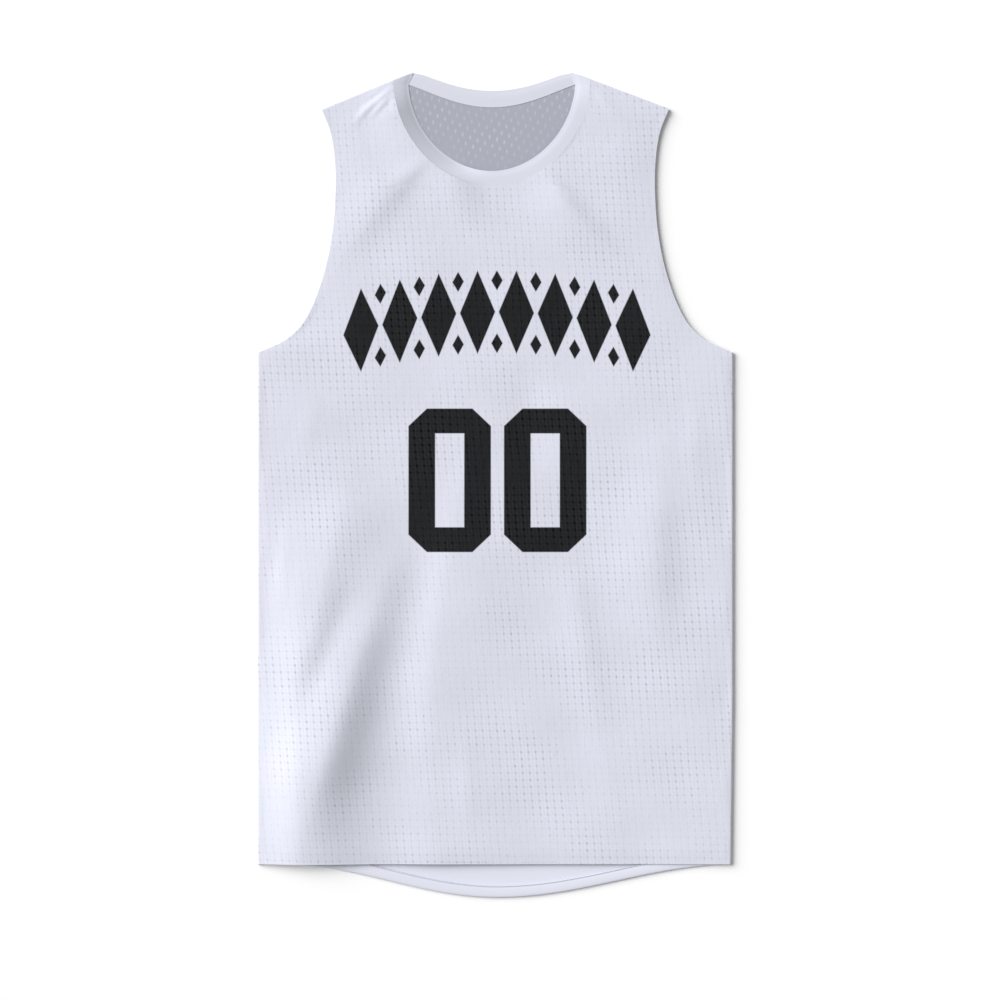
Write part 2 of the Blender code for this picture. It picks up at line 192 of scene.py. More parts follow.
def side_point(side, y):
    x = outline_half_width(y)
    if side > 0 and y < NARROWING_TOP_Y:
        x -= HEM_NARROWING * (NARROWING_TOP_Y - y) / (NARROWING_TOP_Y - FRONT_HEM_Y)
    return Vector((side * x, y, 0))


def shoulder_line(side):
    """Neck end of one shoulder seam, and the direction in which the seam faces."""
    neck_end = Vector((NECK_X + side * NECK_SEAM_HALF, NECK_SEAM_TOP_Y, 0))
    along = (side_point(side, SHOULDER.y) - neck_end).normalized()
    return neck_end, Vector((-side * along.y, side * along.x, 0))


def front_curve(turn, half, top_y, depth):
    """Point of the front's neck: turn is 0 at the bottom and a quarter turn at each shoulder."""
    side = 1 if turn > 0 else -1
    across = abs(sin(turn)) ** (2 / NECK_POWER)
    down = max(cos(turn), 0.0) ** (2 / NECK_POWER)
    return Vector((NECK_X + side * half * across, top_y - depth * down, 0))


def front_seam(turn):
    return front_curve(turn, NECK_SEAM_HALF, NECK_SEAM_TOP_Y, FRONT_SEAM_DEPTH)


def below_shoulder(x, y):
    """Distance of a place from the shoulder seam on its side."""
    neck_end, outward = shoulder_line(1 if x > NECK_X else -1)
    return -(Vector((x, y, 0)) - neck_end).dot(outward)


def neck_heights(x, y):
    """Heights of the front's neck seam and of the band's free edge, low at the shoulders."""
    start, end = NECK_TURN
    turned = ease(((x - NECK_X) / NECK_SEAM_HALF - start) / (end - start))
    lift = ease(below_shoulder(x, y) / NECK_LIFT_RUN)
    return Neck(*(mix(SEAM_Z, mix(left, right, turned), lift)
                  for left, right in zip(NECK_LEFT, NECK_RIGHT)))


def fold_height(fold, x, y):
    along = (fold.y_top - y) / (fold.y_top - fold.y_low)
    if along <= 0 or (along >= 1 and fold.at_low == 0):
        return 0.0
    along = min(along, 1.0)
    bend = 4 * along * (1 - along)
    crest = mix(fold.x_top, fold.x_low, along) + bend * (fold.x_mid - (fold.x_top + fold.x_low) / 2)
    lean = (fold.x_low - fold.x_top) / (fold.y_top - fold.y_low)
    away = (x - crest) / (1 + lean * lean) ** 0.5
    width = (fold.left if away < 0 else fold.right) * mix(FOLD_TOP_WIDTH, 1.0, along)
    if abs(away) > FOLD_SPREAD * width:
        return 0.0
    if along < fold.fullest:
        fullness = ease(along / fold.fullest)
    else:
        fullness = mix(1.0, fold.at_low, ease((along - fold.fullest) / (1 - fold.fullest)))
    return fold.height * fullness * exp(-(away / width) ** 2)


def front_height(x, y):
    """Height of the front's middle surface: its folds, drawn down to its seams and edges."""
    z = PLATEAU_Z + sum(fold_height(fold, x, y) for fold in FOLDS)
    fine = sum(fold_height(fold, x, y) for fold in CREASES)
    for swell in SWELLS:
        along = x * cos(swell.heading) + y * sin(swell.heading)
        fine += swell.height * sin(2 * pi * along / swell.length + swell.start)

    edge_z = mix(SEAM_Z, ARMHOLE_Z, ease((y - UNDERARM_Y) / SHOULDER_REACH))
    from_side = outline_half_width(y) - abs(x)
    z = mix(edge_z, z, sin(min(max(from_side / SIDE_REACH, 0.0), 1.0) * pi / 2))
    from_shoulder = below_shoulder(x, y)
    z = mix(SEAM_Z, z, ease(from_shoulder / SHOULDER_REACH))

    across = abs(x - NECK_X) / NECK_SEAM_HALF
    down = max(NECK_SEAM_TOP_Y - y, 0.0) / FRONT_SEAM_DEPTH
    ring = (across ** NECK_POWER + down ** NECK_POWER) ** (1 / NECK_POWER)
    from_neck = (ring - 1) * NECK_SEAM_HALF
    z = mix(neck_heights(x, y).seam_z, z, ease(from_neck / NECK_REACH))
    pressed = ease(1 - (y - FRONT_HEM_Y) / HEM_REACH) * ease(from_side / SIDE_REACH)
    fine *= ease(min(from_side, from_shoulder, from_neck + CREASE_REACH / 2) / CREASE_REACH)
    return z + fine - HEM_PRESS * pressed


def panel_rows(hem_y, strap_y, neck_low_y, counts, columns, strap_end, tail):
    """Flat rows of a panel: whole ones up to the neck, then a left and a right strap."""
    side_rows, armhole_rows, strap_rows = counts
    levels = [mix(hem_y, UNDERARM_Y, row / side_rows) for row in range(side_rows + 1)]
    levels += [mix(UNDERARM_Y, strap_y, (row / armhole_rows) ** ARMHOLE_CROWDING)
               for row in range(1, armhole_rows + 1)]
    scale = (neck_low_y - hem_y) / (strap_y - hem_y)
    shares = [(column / columns) ** SIDE_CROWDING for column in range(columns + 1)]
    body = []
    for level in levels:
        middle = Vector((NECK_X, hem_y + (level - hem_y) * scale, 0))
        left, right = side_point(-1, level), side_point(1, level)
        row = [left.lerp(middle, share) for share in shares[:-1]]
        row += [right.lerp(middle, share) for share in shares[::-1]]
        body.append([point - Vector((0, tail(point.x, level), 0)) for point in row])
    straps = {-1: [], 1: []}
    for side in straps:
        for step in range(1, strap_rows + 1):
            share = step / strap_rows
            outer = side_point(side, mix(strap_y, SHOULDER.y, share))
            inner = strap_end(side, share)
            row = [outer.lerp(inner, column / columns) for column in range(columns + 1)]
            straps[side].append(row if side < 0 else row[::-1])
    return body, straps


def join_rows(bm, lower, upper):
    for index in range(len(lower) - 1):
        bm.faces.new((lower[index], lower[index + 1], upper[index + 1], upper[index]))


def turn_to_seam(bm, rim, outward, down):
    """Carry a panel's edge round a quarter turn, in equal chords, to face the other panel."""
    for turn in SEAM_TURNS:
        step = outward * SEAM_CHORD * cos(turn) + Vector((0, 0, -down * SEAM_CHORD * sin(turn)))
        moved = [bm.verts.new(vert.co + step) for vert in rim]
        join_rows(bm, rim, moved)
        rim = moved


def panel_mesh(rows, height, down, side_rows):
    """Middle surface of a panel, its sides and shoulders turned to their seams, and its hem."""
    body, straps = rows
    bm = bmesh.new()

    def lay(row):
        return [bm.verts.new((point.x, point.y, height(point.x, point.y))) for point in row]

    grid = [lay(row) for row in body]
    for lower, upper in zip(grid, grid[1:]):
        join_rows(bm, lower, upper)
    middle = len(grid[-1]) // 2
    for side, start in ((-1, grid[-1][:middle + 1]), (1, grid[-1][middle:])):
        lower = start
        for row in straps[side]:
            upper = lay(row)
            join_rows(bm, lower, upper)
            lower = upper
        turn_to_seam(bm, lower, shoulder_line(side)[1], down)
        edge = [row[0 if side < 0 else -1] for row in grid[:side_rows + 1]]
        turn_to_seam(bm, edge, Vector((side, 0, 0)), down)
    return bm, grid[0]


def sewn_piece(name, bm, materials):
    """Object from a mesh; the faces of an open sheet are made to look up."""
    mesh = bpy.data.meshes.new(name)
    bmesh.ops.recalc_face_normals(bm, faces=bm.faces)
    is_open = any(edge.is_boundary for edge in bm.edges)
    if is_open and next(iter(bm.faces)).normal.z < 0:
        bmesh.ops.reverse_faces(bm, faces=bm.faces)
    bm.to_mesh(mesh)
    bm.free()
    mesh.shade_smooth()
    mesh.set_sharp_from_angle(angle=SHARP_ANGLE)
    for material in materials:
        mesh.materials.append(material)
    piece = bpy.data.objects.new(name, mesh)
    bpy.context.collection.objects.link(piece)
    return piece


def thicken(piece, wall, reverse_slot):
    """Give a middle surface its thickness, and round the cut edges."""
    solidify = piece.modifiers.new("thickness", "SOLIDIFY")
    solidify.thickness = wall
    solidify.offset = 0.0
    solidify.use_even_offset = True
    solidify.material_offset = reverse_slot
    bevel = piece.modifiers.new("rounded edge", "BEVEL")
    bevel.width = wall * EDGE_ROUNDING
    bevel.segments = 2
    bevel.limit_method = "ANGLE"
    bevel.angle_limit = SHARP_ANGLE
    bevel.harden_normals = True


def dye(hex_colour):
    """Linear RGBA of an sRGB hex colour."""
    channels = [int(hex_colour[start:start + 2], 16) / 255 for start in (1, 3, 5)]
    linear = [c / 12.92 if c <= 0.04045 else ((c + 0.055) / 1.055) ** 2.4 for c in channels]
    return (*linear, 1.0)


def add_node(tree, kind, links=(), **settings):
    """A shader node with its settings. links holds a value, a node's output or a node for each
    socket; a node stands for its first output."""
    node = tree.nodes.new("ShaderNode" + kind)
    for name, value in settings.items():
        setattr(node, name, value)
    for socket, value in dict(links).items():
        if isinstance(value, bpy.types.Node):
            value = value.outputs[0]
        if isinstance(value, bpy.types.NodeSocket):
            tree.links.new(value, node.inputs[socket])
        else:
            node.inputs[socket].default_value = value
    return node


def blank_material(name):
    material = bpy.data.materials.new(name)
    material.use_nodes = True
    material.node_tree.nodes.clear()
    return material, material.node_tree


def finish_material(tree, links):
    shader = add_node(tree, "BsdfPrincipled", links)
    add_node(tree, "OutputMaterial", {"Surface": shader})


MESH_WHITE = "#D4D6E2"
MESH_EYELET_PAINTED_SHADE = "#AFB1C1"     # painted shade: the shaded cloth seen through an eyelet
PRINT_BLACK = "#1F2022"
# painted shade: the deeper black of the eyelets in the print
PRINT_EYELET_PAINTED_SHADE = "#020203"
PRINT_CONTRAST = 8.0        # ribs and grooves show this much more strongly in black cloth
PRINT_DEPTH = 1.8           # and the eyelets' painted shade this much
EYELET_ALONG = Vector((0.00766, -0.0001))       # from one eyelet to the next in its course
EYELET_UP = Vector((-0.0006, 0.00730))          # and to the next in its column
EYELET_RADIUS = 0.0013      # with its soft edge; the hole itself is under 1 mm
EYELET_TALL = 1.7           # they are taller than they are wide by this much
EYELET_CORE = 0.2           # of the radius, within which the hole is at its darkest
EYELET_LEAST_OPEN = 0.1     # the most closed one shows this share of a fully open one
KNIT_SLACK = 0.004          # the lattice wanders by up to half of this, as pulled cloth does
SLACK_PER_METRE = 9.0       # patches in which it wanders one way, about 110 mm across
OPEN_PER_METRE = 13.0       # patches in which the knit is pulled open or close, about 80 mm
GRAIN_PER_METRE = 900.0     # grain of the yarn, 1.1 mm
GROOVE_RELIEF = 6.0         # depth of the grooves' bump, against that of the grain
EYELET_RELIEF = 0.8         # and of the eyelets' pits
YARN_WIDTH = 0.0022         # real yarns are 0.5 mm; these are runs of several, as wide as shows
YARN_RUN = 0.010            # along its rib a yarn keeps its tone over about this length
YARN_DEPTH = 0.10
# Depth of the shade along each set of grooves: the columns and courses that the eyelets stand in,
# and those halfway between them
Groove = namedtuple("Groove", "columns courses depth")
GROOVES = [
    Groove(1, 0, 0.022),
    Groove(2, 0, 0.034),
    Groove(0, 1, 0.020),
    Groove(0, 2, 0.018),
    Groove(1, 1, 0.014),
]


def lattice_cells(tree, place, along, up):
    """A place on the cloth, counted in steps along and up a lattice."""
    area = along.x * up.y - along.y * up.x
    steps = [add_node(tree, "VectorMath", {0: place, 1: step}, operation="DOT_PRODUCT")
             for step in ((up.y / area, -up.x / area, 0), (-along.y / area, along.x / area, 0))]
    return add_node(tree, "CombineXYZ",
                    {"X": steps[0].outputs["Value"], "Y": steps[1].outputs["Value"]})


def from_cell_middle(tree, cells, along, up, tall):
    """Distance from the middle of the nearest cell, on a scale that makes spots tall."""
    inside = add_node(tree, "VectorMath", {0: cells}, operation="FRACTION")
    centred = add_node(tree, "VectorMath", {0: inside, 1: (0.5, 0.5, 0)}, operation="SUBTRACT")
    sides = [add_node(tree, "VectorMath", {0: centred, 1: side}, operation="DOT_PRODUCT")
             for side in ((along.x, up.x, 0), (along.y / tall, up.y / tall, 0))]
    offset = add_node(tree, "CombineXYZ",
                      {"X": sides[0].outputs["Value"], "Y": sides[1].outputs["Value"]})
    return add_node(tree, "VectorMath", {0: offset}, operation="LENGTH").outputs["Value"]


def slack_place(tree):
    """Places on the cloth, and the same drawn slightly out of true as cloth lies."""
    place = add_node(tree, "TexCoord").outputs["Object"]
    slack = add_node(tree, "TexNoise", {"Vector": place, "Scale": SLACK_PER_METRE, "Detail": 1.0})
    centred = add_node(tree, "VectorMath", {0: slack.outputs["Color"], 1: (0.5, 0.5, 0.5)},
                       operation="SUBTRACT")
    pulled = add_node(tree, "VectorMath", {0: centred, 1: (KNIT_SLACK,) * 3, 2: place},
                      operation="MULTIPLY_ADD")
    return place, pulled


def openness(tree, place):
    """How open the knit is from place to place; where it is pulled close little of it shows."""
    patches = add_node(tree, "TexNoise", {"Vector": place, "Scale": OPEN_PER_METRE, "Detail": 3.0})
    return add_node(tree, "MapRange",
                    {"Value": patches.outputs["Fac"], "From Min": 0.41, "From Max": 0.64,
                     "To Min": 0.20, "To Max": 1.0})


def eyelets(tree, cells, open_knit):
    """Up to 1 in the middle of an eyelet and 0 between them; no two stand equally open."""
    away = from_cell_middle(tree, cells, EYELET_ALONG, EYELET_UP, EYELET_TALL)
    whole = add_node(tree, "VectorMath", {0: cells}, operation="FLOOR")
    chance = add_node(tree, "TexWhiteNoise", {"Vector": whole}, noise_dimensions="2D")
    opened = add_node(tree, "MapRange",
                      {"Value": chance.outputs["Value"], "To Min": EYELET_LEAST_OPEN})
    hole = add_node(tree, "MapRange",
                    {"Value": away, "From Min": EYELET_RADIUS,
                     "From Max": EYELET_RADIUS * EYELET_CORE, "To Max": opened},
                    interpolation_type="SMOOTHSTEP")
    return add_node(tree, "Math", {0: hole, 1: open_knit}, operation="MULTIPLY")


def grooves(tree, cells, open_knit):
    """Shade of the grooves between the ribs and courses, about 0; darkest in the eyelets."""
    total = None
    for groove in GROOVES:
        along = add_node(tree, "VectorMath",
                         {0: cells, 1: (2 * pi * groove.columns, 2 * pi * groove.courses, 0)},
                         operation="DOT_PRODUCT")
        start = pi * (groove.columns + groove.courses)
        turn = add_node(tree, "Math", {0: along.outputs["Value"], 1: start}, operation="SUBTRACT")
        wave = add_node(tree, "Math", {0: turn}, operation="COSINE")
        links = {0: wave, 1: -groove.depth}
        if total:
            links[2] = total
        total = add_node(tree, "Math", links, operation="MULTIPLY_ADD" if total else "MULTIPLY")
    return add_node(tree, "Math", {0: total, 1: open_knit}, operation="MULTIPLY")


def yarn_tone(tree, place):
    """Lighter and darker runs of yarn along the ribs, about 0."""
    stretched = add_node(tree, "VectorMath",
                         {0: place, 1: (1 / YARN_WIDTH, 1 / YARN_RUN, 1 / YARN_RUN)},
                         operation="MULTIPLY")
    runs = add_node(tree, "TexNoise", {"Vector": stretched, "Scale": 1.0, "Detail": 2.0})
    return add_node(tree, "Math", {0: runs.outputs["Fac"], 1: YARN_DEPTH, 2: -YARN_DEPTH / 2},
                    operation="MULTIPLY_ADD")


def knit_relief(tree, place, holes, shade):
    """Bump of the eyelets' pits, the ribs and the yarn's own grain."""
    grain = add_node(tree, "TexNoise", {"Vector": place, "Scale": GRAIN_PER_METRE, "Detail": 2.0})
    rise = add_node(tree, "Math", {0: shade, 1: GROOVE_RELIEF, 2: grain.outputs["Fac"]},
                    operation="MULTIPLY_ADD")
    level = add_node(tree, "Math", {0: holes, 1: -EYELET_RELIEF, 2: rise}, operation="MULTIPLY_ADD")
    return add_node(tree, "Bump", {"Height": level, "Strength": 0.30, "Distance": 0.0003})


# Block number, and the arch of lozenges over it
DIGIT_SIZE = Vector((0.0866, 0.1507))
DIGIT_COUNTER = Vector((0.0305, 0.0985))
DIGIT_CHAMFER = Vector((0.0194, 0.0184))
DIGIT_SPACING = 0.1003
NUMBER_PLACE = Vector((0.0023, 0.0041))
LOZENGE_COUNT = 8
LOZENGE_PITCH = 0.0408
LOZENGE_SIZE = Vector((0.0370, 0.0875))
STUD_SIZE = Vector((0.0120, 0.0210))
STUD_RISE = 0.0330          # the small lozenges' middles, above and below the large ones' middle
ARCH_PLACE = Vector((0.0018, 0.1810))
ARCH_SAG = 0.0250           # drop of the row from its middle to its ends
PRINT_EDGE = 0.0005         # how far the dye creeps


def lozenge_edge(tree, across, up, size):
    """Distance to the edge of a lozenge from a place given by two lengths from its middle."""
    half = size / 2
    scale = half.x * half.y / hypot(half.x, half.y)
    wide = add_node(tree, "Math", {0: across, 1: scale / half.x, 2: -scale},
                    operation="MULTIPLY_ADD")
    return add_node(tree, "Math", {0: up, 1: scale / half.y, 2: wide}, operation="MULTIPLY_ADD")


def away_from(tree, middle, place):
    """How far a place along a line lies from a middle, to either side."""
    offset = add_node(tree, "Math", {0: place, 1: middle}, operation="SUBTRACT")
    return add_node(tree, "Math", {0: offset}, operation="ABSOLUTE")


def number_edge(tree, x, y):
    """Distance to the edge of either nought: an octagon with a plain slot in its middle."""
    from_number = away_from(tree, NUMBER_PLACE.x, x)
    across = away_from(tree, DIGIT_SPACING / 2, from_number)
    up = away_from(tree, NUMBER_PLACE.y, y)

    def box_edge(size):
        wide = add_node(tree, "Math", {0: across, 1: size.x / 2}, operation="SUBTRACT")
        tall = add_node(tree, "Math", {0: up, 1: size.y / 2}, operation="SUBTRACT")
        return add_node(tree, "Math", {0: wide, 1: tall}, operation="MAXIMUM")

    corners = Vector((DIGIT_SIZE.x + (DIGIT_SIZE.y / DIGIT_CHAMFER.y - 2) * DIGIT_CHAMFER.x,
                      DIGIT_SIZE.y + (DIGIT_SIZE.x / DIGIT_CHAMFER.x - 2) * DIGIT_CHAMFER.y))
    cut = lozenge_edge(tree, across, up, corners)
    outer = add_node(tree, "Math", {0: box_edge(DIGIT_SIZE), 1: cut}, operation="MAXIMUM")
    slot = add_node(tree, "Math", {0: box_edge(DIGIT_COUNTER), 1: -1.0}, operation="MULTIPLY")
    return add_node(tree, "Math", {0: outer, 1: slot}, operation="MAXIMUM")


def arch_edge(tree, x, y):
    """Distance to the edge of the nearest lozenge in the arched row."""
    across = add_node(tree, "Math", {0: x, 1: ARCH_PLACE.x}, operation="SUBTRACT")
    reach = LOZENGE_COUNT * LOZENGE_PITCH / 2
    square = add_node(tree, "Math", {0: across, 1: across}, operation="MULTIPLY")
    lift = add_node(tree, "Math", {0: square, 1: ARCH_SAG / reach ** 2, 2: y},
                    operation="MULTIPLY_ADD")
    up = away_from(tree, ARCH_PLACE.y, lift)
    distance = add_node(tree, "Math", {0: across}, operation="ABSOLUTE")

    def row_of_lozenges(shift, end, height, size):
        """Lozenges a pitch apart, out to an end on either side; a shift moves them along."""
        moved = add_node(tree, "Math", {0: across, 1: shift}, operation="ADD")
        cell = add_node(tree, "Math", {0: moved, 1: LOZENGE_PITCH / 2, 2: -LOZENGE_PITCH / 2},
                        operation="WRAP")
        beside = add_node(tree, "Math", {0: cell}, operation="ABSOLUTE")
        edge = lozenge_edge(tree, beside, height, size)
        beyond = add_node(tree, "Math", {0: distance, 1: end}, operation="SUBTRACT")
        return add_node(tree, "Math", {0: edge, 1: beyond}, operation="MAXIMUM")

    stud_up = away_from(tree, STUD_RISE, up)
    large = row_of_lozenges(LOZENGE_PITCH / 2, reach, up, LOZENGE_SIZE)
    small = row_of_lozenges(0.0, reach - LOZENGE_PITCH / 2, stud_up, STUD_SIZE)
    return add_node(tree, "Math", {0: large, 1: small}, operation="MINIMUM")


def mesh_material(name, printed):
    """Polyester eyelet mesh, dull and dry with a slight sheen, plain or with its dyed print."""
    material, tree = blank_material(name)
    place, pulled = slack_place(tree)
    cells = lattice_cells(tree, pulled, EYELET_ALONG, EYELET_UP)
    open_knit = openness(tree, place)
    holes = eyelets(tree, cells, open_knit)
    shade = add_node(tree, "Math", {0: grooves(tree, cells, open_knit), 1: yarn_tone(tree, place)})
    lit = add_node(tree, "Math", {0: shade, 1: 1.0})
    cloth = add_node(tree, "VectorMath", {0: dye(MESH_WHITE)[:3], 1: lit}, operation="MULTIPLY")
    # Painted shade: each eyelet is painted grey, for the shaded cloth that shows through it
    colour = add_node(tree, "Mix", {"Factor": holes, "A": cloth, "B": dye(MESH_EYELET_PAINTED_SHADE)},
                      data_type="RGBA")
    looks = {"Base Color": colour.outputs["Result"], "Roughness": 0.75, "Specular IOR Level": 0.08,
             "Sheen Weight": 0.06, "Sheen Roughness": 0.45,
             "Normal": knit_relief(tree, place, holes, shade)}
    if printed:
        spots = add_node(tree, "SeparateXYZ", {0: place})
        x, y = spots.outputs["X"], spots.outputs["Y"]
        edge = add_node(tree, "Math", {0: number_edge(tree, x, y), 1: arch_edge(tree, x, y)},
                        operation="MINIMUM")
        ink = add_node(tree, "MapRange",
                       {"Value": edge, "From Min": PRINT_EDGE, "From Max": -PRINT_EDGE})
        dim = add_node(tree, "Math", {0: shade, 1: PRINT_CONTRAST, 2: 1.0},
                       operation="MULTIPLY_ADD")
        inked = add_node(tree, "VectorMath", {0: dye(PRINT_BLACK)[:3], 1: dim},
                         operation="MULTIPLY")
        # Painted shade: in the print the eyelets are painted a deeper black
        deep = add_node(tree, "Math", {0: holes, 1: PRINT_DEPTH}, operation="MULTIPLY")
        dark = add_node(tree, "Mix", {"Factor": deep, "A": inked, "B": dye(PRINT_EYELET_PAINTED_SHADE)},
                        data_type="RGBA")
        over = add_node(tree, "Mix",
                        {"Factor": ink, "A": colour.outputs["Result"], "B": dark.outputs["Result"]},
                        data_type="RGBA")
        looks["Base Color"] = over.outputs["Result"]
    finish_material(tree, looks)
    return material


front_neck_low_y = NECK_SEAM_TOP_Y - FRONT_SEAM_DEPTH
front_rows = panel_rows(FRONT_HEM_Y, front_neck_low_y, front_neck_low_y, FRONT_ROWS,
                        FRONT_HALF_COLUMNS, lambda side, share: front_seam(side * share * pi / 2),
                        lambda x, level: 0.0)
front_mesh, _ = panel_mesh(front_rows, front_height, 1, FRONT_ROWS[0])
front = sewn_piece("front_panel_cloth", front_mesh,
                   [mesh_material("dyed polyester eyelet mesh", printed=True)])
thicken(front, CLOTH, 0)
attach(front, "root")
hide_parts("front_panel")

# ---------------------------------------------------------------------------------------------
# Back panel
# Cut from the same mesh without the print, with a shallow neck and a hem that drops into a rounded
# tail. The tail's last 12 mm are folded up to the inside and pressed flat. The inside shows the
# reverse of the knit, with the eyelets as paler specks; toward the neck it is painted greyer, as
# painted shade for the shade inside the neck.

LENGTH = 0.869
TAIL_DROP = 0.0348
TAIL_X = 0.0018
TAIL_LEFT_REACH = 0.226
TAIL_RIGHT_REACH = 0.252
TAIL_FADE = 0.120
TURN_UP = 0.0124
TURN_UP_TOP_Z = 0.0024      # middle surface of the folded-up strip
TURN_UP_SIDE_GAP = 0.008
BACK_SEAM_DEPTH = 0.0276
BACK_SEAM_POWER = 1.6
BACK_HALF_COLUMNS = 40
BACK_ROWS = (60, 26, 16)
BACK_STRAP_START = 0.8      # of the way up the armhole, where the rows part at the neck
FOLD_STEPS = 5

# Lines along the turn-up, each a share of the way up it, and how far the stitching sinks them
Line = namedtuple("Line", "share sunk")
TURN_UP_LINES = [
    Line(0.30, 0.0),
    Line(0.60, 0.0),
    Line(0.84, 0.0004),
    Line(0.88, 0.0005),
    Line(0.96, 0.0002),
    Line(1.00, 0.0),
]

BACK_Z = CLOTH / 2
BACK_HEM_Y = TAIL_DROP - LENGTH / 2


def back_curve(share, half, top_y, depth, power):
    """Point of the back's neck: share runs from -1 at the left shoulder to 1 at the right one."""
    return Vector((NECK_X + share * half, top_y - depth * (1 - share * share) ** power, 0))


def back_seam(share):
    return back_curve(share, NECK_SEAM_HALF, NECK_SEAM_TOP_Y, BACK_SEAM_DEPTH, BACK_SEAM_POWER)


def tail_drop(x):
    reach = TAIL_LEFT_REACH if x < TAIL_X else TAIL_RIGHT_REACH
    return TAIL_DROP * cos(min(abs(x - TAIL_X) / reach, 1.0) * pi / 2) ** 2


def tail_at_level(x, level):
    return tail_drop(x) * max(1 - (level - BACK_HEM_Y) / TAIL_FADE, 0.0) ** 2


REVERSE_WHITE = "#DADCE8"
# Painted shade: the grey the reverse is given toward the neck, for the shade inside the neck
REVERSE_PAINTED_SHADE = "#A7A9B5"
REVERSE_SPECK = "#BDBFCB"
SPECK_ALONG = Vector((0.0078, -0.0031))
SPECK_UP = Vector((0.0049, 0.0066))
SPECK_RADIUS = 0.0018
SPECK_TALL = 1.9
PAINTED_SHADE_Y = (0.10, 0.25)      # up the body, the painted shade greys the reverse between these


def reverse_material(name):
    """Reverse of the mesh: flatter yarn, its eyelets seen as paler specks in a slanted lattice,
    and a painted shade that greys it toward the neck.
    """
    material, tree = blank_material(name)
    place, pulled = slack_place(tree)
    cells = lattice_cells(tree, pulled, SPECK_ALONG, SPECK_UP)
    away = from_cell_middle(tree, cells, SPECK_ALONG, SPECK_UP, SPECK_TALL)
    spots = add_node(tree, "SeparateXYZ", {0: place})
    # Painted shade: the reverse greys toward the neck; the pale specks show only within this painted
    # shade
    painted_shade = add_node(tree, "MapRange",
                      {"Value": spots.outputs["Y"], "From Min": PAINTED_SHADE_Y[0], "From Max": PAINTED_SHADE_Y[1]})
    showing = add_node(tree, "Math", {0: openness(tree, place), 1: painted_shade}, operation="MULTIPLY")
    ground = add_node(tree, "Mix",
                      {"Factor": painted_shade, "A": dye(REVERSE_WHITE), "B": dye(REVERSE_PAINTED_SHADE)},
                      data_type="RGBA")
    speck = add_node(tree, "MapRange",
                     {"Value": away, "From Min": SPECK_RADIUS,
                      "From Max": SPECK_RADIUS * EYELET_CORE, "To Max": showing},
                     interpolation_type="SMOOTHSTEP")
    colour = add_node(tree, "Mix",
                      {"Factor": speck, "A": ground.outputs["Result"], "B": dye(REVERSE_SPECK)},
                      data_type="RGBA")
    finish_material(tree, {"Base Color": colour.outputs["Result"], "Roughness": 0.85,
                           "Specular IOR Level": 0.2,
                           "Normal": knit_relief(tree, place, speck, 0.0)})
    return material


HEM_WHITE = "#D8DAE6"


def hem_material(name):
    """The turn-up: two layers of the mesh pressed together, so that its eyelets close up."""
    material, tree = blank_material(name)
    place = add_node(tree, "TexCoord").outputs["Object"]
    grain = add_node(tree, "TexNoise", {"Vector": place, "Scale": GRAIN_PER_METRE, "Detail": 2.0})
    relief = add_node(tree, "Bump",
                      {"Height": grain.outputs["Fac"], "Strength": 0.2, "Distance": 0.0002})
    finish_material(tree, {"Base Color": dye(HEM_WHITE), "Roughness": 0.75,
                           "Specular IOR Level": 0.3, "Normal": relief})
    return material


back_neck_low_y = NECK_SEAM_TOP_Y - BACK_SEAM_DEPTH
back_strap_y = mix(UNDERARM_Y, SHOULDER.y, BACK_STRAP_START)
back_rows = panel_rows(BACK_HEM_Y, back_strap_y, back_neck_low_y, BACK_ROWS, BACK_HALF_COLUMNS,
                       lambda side, share: back_seam(side * share), tail_at_level)
back_mesh, hem_edge = panel_mesh(back_rows, lambda x, y: BACK_Z, -1, BACK_ROWS[0])
fold_radius = (TURN_UP_TOP_Z - BACK_Z) / 2
for vert in hem_edge:
    vert.co.y += fold_radius + CLOTH / 2
rim = [vert for vert in hem_edge if abs(vert.co.x) < SIDE_X - TURN_UP_SIDE_GAP]
panel_faces = set(back_mesh.faces)


def fold_on(back, up_z):
    """Carry the turn-up's rim on to a new line, the given lengths up the cloth and in height."""
    moved = [back_mesh.verts.new((vert.co.x, BACK_HEM_Y - tail_drop(vert.co.x) + back, up_z))
             for vert in rim]
    join_rows(back_mesh, rim, moved)
    return moved


for step in range(1, FOLD_STEPS + 1):
    turn = pi * step / FOLD_STEPS
    rim = fold_on(fold_radius * (1 - sin(turn)) + CLOTH / 2, BACK_Z + fold_radius * (1 - cos(turn)))
for line in TURN_UP_LINES:
    rim = fold_on(TURN_UP * line.share, TURN_UP_TOP_Z - line.sunk)
for face in set(back_mesh.faces) - panel_faces:
    face.material_index = 1
back = sewn_piece("back_panel_cloth", back_mesh,
                  [reverse_material("reverse of the eyelet mesh"),
                   mesh_material("plain polyester eyelet mesh", printed=False),
                   hem_material("pressed polyester hem")])
thicken(back, CLOTH, 1)
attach(back, "root")
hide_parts("back_panel", "back_hem_turn_up")

# ---------------------------------------------------------------------------------------------
# Neck band
# One strip of smooth fine rib, folded double along its free edge and sewn round the neck. It is
# a little thicker than the mesh, leans into the opening and rolls over at both shoulders.

